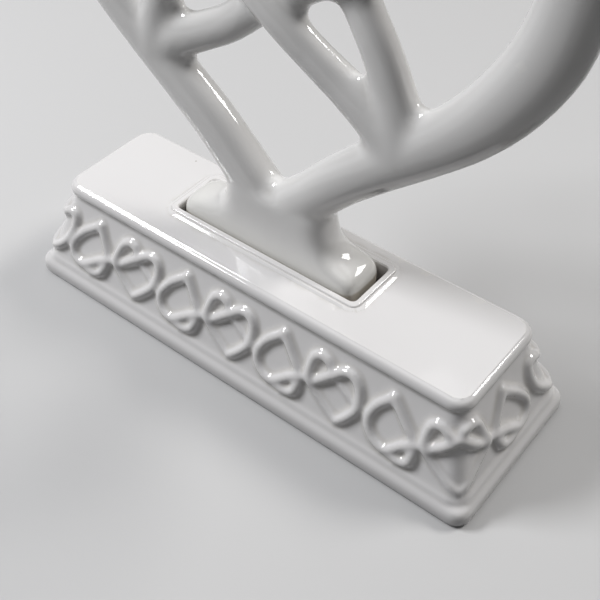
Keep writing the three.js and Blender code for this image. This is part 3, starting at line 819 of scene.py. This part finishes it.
class TOPPER_OT_plinth(bpy.types.Operator):
    """Model the plinth with its frieze, lip, socket and open underside"""

    bl_idname = "topper.plinth"
    bl_label = "Plinth"

    def execute(self, context):
        sizes = context.scene.topper_plinth
        figure = context.scene.topper_figure
        finish = context.scene.topper_finish
        half_x, half_y = sizes.size_x / 2, sizes.size_y / 2
        frieze = Frieze(sizes)
        overlap = sizes.bead_height / 2
        low, high = frieze.foot - overlap, frieze.top + overlap
        ground_low, ground_high = frieze.half_at(low), frieze.half_at(high)
        ledge_z = sizes.flange_height - sizes.flange_drop
        upper = [
            block(frieze.foot_half.x, frieze.foot_half.y, frieze.corner, ledge_z / 2, frieze.foot),
            block(ground_low.x, ground_low.y, frieze.corner, low, high,
                  top_x=ground_high.x / ground_low.x, top_y=ground_high.y / ground_low.y),
            block(half_x - sizes.slab_setback, half_y - sizes.slab_setback - sizes.slab_lean,
                  sizes.slab_corner, frieze.top, sizes.size_z, sizes.slab_under,
                  sizes.slab_round),
            *frieze.cords(),
        ]
        socket_x = figure.foot_x / 2 + figure.clearance + figure.end_play
        socket_y = figure.foot_y / 2 + figure.clearance
        floor = sizes.size_z - sizes.socket_depth
        inside = sizes.size_z - sizes.top_wall / 2
        rim = sizes.size_z + sizes.lip_height
        shift = Vector((sizes.socket_shift_x, sizes.socket_shift_y, 0))

        def surround(width, bottom, top, low_round=0, high_round=0, flare=0):
            """Block that stands round the socket by a width, and may flare at its top."""
            wide_x, wide_y = socket_x + width, socket_y + width
            return moved(block(
                wide_x, wide_y, sizes.socket_corner + width / 2, bottom, top, low_round,
                high_round, 1 + flare / wide_x, 1 + flare / wide_y,
            ), shift)

        lean = Matrix.Shear("XY", 4, (0, sizes.slab_lean / frieze.height))
        for shell in upper:
            bmesh.ops.transform(
                shell, matrix=lean, space=Matrix.Translation((0, 0, -frieze.foot)),
                verts=[v for v in shell.verts if v.co.z > frieze.foot],
            )
        whole = object_of("plinth_glazed", [
            block(half_x, half_y, sizes.flange_corner, 0, ledge_z, sizes.flange_chamfer,
                  sizes.flange_round),
            frieze.bead(sizes.bead_radius, sizes.bead_width,
                        ledge_z + sizes.bead_radius * BEAD_RISE),
            *upper,
        ])
        soften(whole, sizes.voxel, sizes.fillet, PLINTH_PASSES)
        level_out(whole, sizes.size_z, sizes.voxel * LEVEL_SHARE)
        thin_out(whole, THIN_SHARE)

        wall = Vector((sizes.wall, sizes.wall))
        inner_low, inner_high = frieze.foot_half - wall, frieze.top_half - wall
        hollow = block(inner_low.x, inner_low.y, sizes.flange_corner, -overlap,
                       sizes.size_z - sizes.top_wall, high_round=sizes.slab_under,
                       top_x=inner_high.x / inner_low.x, top_y=inner_high.y / inner_low.y)
        combine(whole, object_of("hollow", [hollow]), "DIFFERENCE")
        well = surround(sizes.lip_width / 2, floor - sizes.socket_wall / 2, rim)
        combine(whole, object_of("well", [well]), "DIFFERENCE")
        for ring in (
            surround(sizes.socket_wall, floor - sizes.socket_wall, inside, sizes.slab_under),
            surround(sizes.step_width + sizes.step_slope, sizes.size_z - sizes.step_height,
                     sizes.size_z + sizes.step_height, flare=-2 * sizes.step_slope),
            surround(sizes.lip_width, floor, rim, high_round=sizes.lip_height * LIP_ROUND),
        ):
            combine(whole, object_of("ring", [ring]), "UNION")
        chamfer = sizes.lip_height * LIP_CHAMFER
        for pocket in (
            surround(0, floor, rim + overlap),
            surround(0, rim - chamfer, rim + chamfer, flare=2 * chamfer),
        ):
            combine(whole, object_of("pocket", [pocket]), "DIFFERENCE")
        crisp_edges(whole)
        even_shading(whole)
        whole.data.transform(Matrix.Translation((MIDDLE.x, MIDDLE.y, PLINTH_LOW.z)))
        whole.data.materials.clear()
        whole.data.materials.append(porcelain("plinth_glaze", finish.plinth_colour, finish))
        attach(whole, "plinth")
        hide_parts("plinth")
        return {"FINISHED"}


def strand(shares, side, sizes, half_width, half_depth):
    """One strand of the heart: side is 1 as listed, or -1 for its mirror image, which passes
    behind where the listed one passes in front."""
    points = smooth_path(
        [
            Vector((
                sizes.heart_shift + side * row[0] * sizes.heart_half,
                -side * row[2] * sizes.strand_lift,
                sizes.heart_tip + row[1] * sizes.heart_height,
            ))
            for row in shares
        ],
        STRAND_STEPS,
    )
    last = len(points) - 1
    widths = [row[3] for row in shares]
    depths = [row[-1] for row in shares]
    back = Vector((0, 1, 0))
    return sweep(
        [
            ring_frame(points, k, back, half_width * along(widths, k / last),
                       half_depth * along(depths, k / last))
            for k in range(len(points))
        ],
        STRAND_SIDES,
    )


def foot_shell(sizes, bottom):
    """Foot block, extruded up through its shoulders to the waist."""
    half_x, half_y, z, middle = sizes.foot_x / 2, sizes.foot_y / 2, sizes.foot_rise, 0
    shell = block(half_x, half_y, half_y, bottom, z)
    cap = max(shell.faces, key=lambda face: face.calc_center_median().z)
    square = SHOULDER_SHARES[0][-1]
    levels = [(bottom, half_x, half_y, middle, square), (z, half_x, half_y, middle, square)]
    for in_share, up_share, neck_share, square in SHOULDER_SHARES[1:]:
        next_x = sizes.foot_x / 2 + (sizes.waist_half - sizes.foot_x / 2) * in_share
        next_y = (sizes.foot_y + (sizes.waist_depth - sizes.foot_y) * neck_share) / 2
        next_z = sizes.foot_rise + up_share * sizes.waist_rise
        grown = bmesh.ops.extrude_face_region(shell, geom=[cap])["geom"]
        cap = next(item for item in grown if isinstance(item, bmesh.types.BMFace))
        straight = (next_x - next_y) / (half_x - half_y)
        for v in cap.verts:
            x = v.co.x - middle
            end = math.copysign(half_x - half_y, x)
            v.co.x = end * straight + (x - end) * next_y / half_y + sizes.waist_shift * in_share
        bmesh.ops.scale(shell, vec=(1, next_y / half_y, 1), verts=cap.verts)
        bmesh.ops.translate(shell, vec=(0, 0, next_z - z), verts=cap.verts)
        half_x, half_y, z, middle = next_x, next_y, next_z, sizes.waist_shift * in_share
        levels.append((z, half_x, half_y, middle, square))
    for z, half_x, half_y, middle, square in levels:
        for v in [v for v in shell.verts if abs(v.co.z - z) < SAME_LEVEL]:
            end = math.copysign(half_x - half_y, v.co.x - middle)
            out, side = (v.co.x - middle - end) / half_y, v.co.y / half_y
            v.co.x = middle + end + math.copysign(abs(out) ** (2 / square), out) * half_y
            v.co.y = math.copysign(abs(side) ** (2 / square), side) * half_y
    return shell


class TOPPER_OT_figure(bpy.types.Operator):
    """Model the foot and the heart of interlaced strands"""

    bl_idname = "topper.figure"
    bl_label = "Figure"

    def execute(self, context):
        sizes = context.scene.topper_figure
        plinth = context.scene.topper_plinth
        finish = context.scene.topper_finish
        foot = object_of("foot", [foot_shell(sizes, FIGURE_LOW.z - plinth.size_z)])
        soften(foot, sizes.voxel, -sizes.foot_round, FOOT_PASSES)
        shells = [shell_of(foot)]
        bpy.data.objects.remove(foot)
        for side, low_shares, arm_shares in (
            (1, RIGHT_LOW_SHARES, RIGHT_ARM_SHARES), (-1, LEFT_LOW_SHARES, LEFT_ARM_SHARES),
        ):
            shells.append(strand(arm_shares + LOBE_SHARES, side, sizes, sizes.arm_width / 2,
                                 sizes.arm_depth / 2))
            for shares in (low_shares, HIGH_SHARES):
                shells.append(
                    strand(shares, side, sizes, sizes.strand_width / 2, sizes.strand_depth / 2)
                )
        whole = object_of("figure_glazed", shells)
        whole.data.transform(Matrix.Translation((
            MIDDLE.x + plinth.socket_shift_x - sizes.end_play,
            MIDDLE.y + plinth.socket_shift_y,
            plinth.size_z,
        )))
        soften(whole, sizes.voxel, sizes.fillet, FIGURE_PASSES)
        whole.data.materials.clear()
        rim = PLINTH_HIGH.z
        tints = (
            (finish.foot_colour, rim - TINT_REACH, rim + TINT_REACH),
            # bare clay and painted shade in the gap below the lip
            (finish.gap_clay_and_shade_colour, rim - GAP_LOW, rim - GAP_HIGH),
        )
        whole.data.materials.append(
            porcelain("figure_glaze", finish.figure_colour, finish, tints)
        )
        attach(whole, "figure")
        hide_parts("figure")
        return {"FINISHED"}


def lamp(name, place, size, power, tint):
    """Soft square lamp that looks at the object."""
    data = bpy.data.lights.new(name, "AREA")
    data.shape = "RECTANGLE"
    data.size, data.size_y = size
    data.energy = power
    data.color = tint
    piece = bpy.data.objects.new(name, data)
    piece.location = place
    way = Vector(LAMP_TARGET) - Vector(place)
    piece.rotation_euler = way.to_track_quat("-Z", "Y").to_euler()
    bpy.context.scene.collection.objects.link(piece)


class TOPPER_OT_stage(bpy.types.Operator):
    """Set the floor, the soft light and the camera"""

    bl_idname = "topper.stage"
    bl_label = "Stage"

    def execute(self, context):
        finish = context.scene.topper_finish
        shell = bmesh.new()
        bmesh.ops.create_grid(shell, x_segments=1, y_segments=1, size=FLOOR_HALF)
        floor = object_of("floor", [shell])
        material = bpy.data.materials.new("floor_paper")
        material.use_nodes = True
        tree = material.node_tree
        shader = tree.nodes["Principled BSDF"]
        shader.inputs["Roughness"].default_value = FLOOR_ROUGHNESS
        rays = tree.nodes.new("ShaderNodeLightPath")
        bounce = mix_colours(
            tree, rays.outputs["Is Diffuse Ray"], (*finish.floor_colour, 1),
            (*finish.bounce_colour, 1),
        )
        tree.links.new(bounce, shader.inputs["Base Color"])
        floor.data.materials.append(material)

        world = bpy.data.worlds.new("studio")
        world.use_nodes = True
        sky = world.node_tree.nodes["Background"]
        sky.inputs["Color"].default_value = (1, 1, 1, 1)
        sky.inputs["Strength"].default_value = SKY_STRENGTH
        context.scene.world = world
        for row in LAMPS:
            lamp(*row)

        data = bpy.data.cameras.new("camera")
        data.sensor_width = CAMERA_SENSOR
        data.lens = CAMERA_LENS
        data.clip_start = CLIP_START
        camera = bpy.data.objects.new("camera", data)
        camera.matrix_world = camera_matrix(Vector((MIDDLE.x, 0, 0)))
        context.scene.collection.objects.link(camera)
        context.scene.camera = camera
        context.scene.view_settings.view_transform = "Standard"
        return {"FINISHED"}


def camera_matrix(base):
    """Where the photograph's camera stood, from the foot of the plinth's middle."""
    azimuth, elevation, roll = (math.radians(angle) for angle in CAMERA_ANGLES)
    back = Vector((
        math.cos(elevation) * math.sin(azimuth), -math.cos(elevation) * math.cos(azimuth),
        math.sin(elevation),
    ))
    right = Vector((math.cos(azimuth), math.sin(azimuth), 0))
    up = back.cross(right)
    turn = Matrix((right, up, back)).transposed() @ Matrix.Rotation(roll, 3, "Z")
    place = base + Vector(CAMERA_PLACE)
    return Matrix.Translation(place) @ turn.to_4x4()


class VIEW3D_PT_topper(bpy.types.Panel):
    """Sidebar panel with the topper's sizes, colours and operators"""

    bl_label = "Cake Topper"
    bl_idname = "VIEW3D_PT_topper"
    bl_space_type = "VIEW_3D"
    bl_region_type = "UI"
    bl_category = "Topper"

    def draw(self, context):
        for group in ("topper_plinth", "topper_figure", "topper_finish"):
            settings = getattr(context.scene, group)
            column = self.layout.column(align=True)
            for key in settings.bl_rna.properties.keys():
                if key not in ("rna_type", "name"):
                    column.prop(settings, key)
        for operator in ("topper.plinth", "topper.figure", "topper.stage"):
            self.layout.operator(operator)


CLASSES = (
    TopperPlinth, TopperFigure, TopperFinish,
    TOPPER_OT_plinth, TOPPER_OT_figure, TOPPER_OT_stage,
    VIEW3D_PT_topper,
)


def register():
    """Adds the topper's sizes, operators and panel."""
    for item in CLASSES:
        bpy.utils.register_class(item)
    bpy.types.Scene.topper_plinth = PointerProperty(type=TopperPlinth)
    bpy.types.Scene.topper_figure = PointerProperty(type=TopperFigure)
    bpy.types.Scene.topper_finish = PointerProperty(type=TopperFinish)


def unregister():
    """Takes the topper's sizes, operators and panel away again."""
    for group in ("topper_plinth", "topper_figure", "topper_finish"):
        delattr(bpy.types.Scene, group)
    for item in reversed(CLASSES):
        bpy.utils.unregister_class(item)


def main():
    """Makes the topper and its stage."""
    register()
    bpy.ops.topper.stage()
    bpy.ops.topper.plinth()
    bpy.ops.topper.figure()


if __name__ == "__main__":
    main()
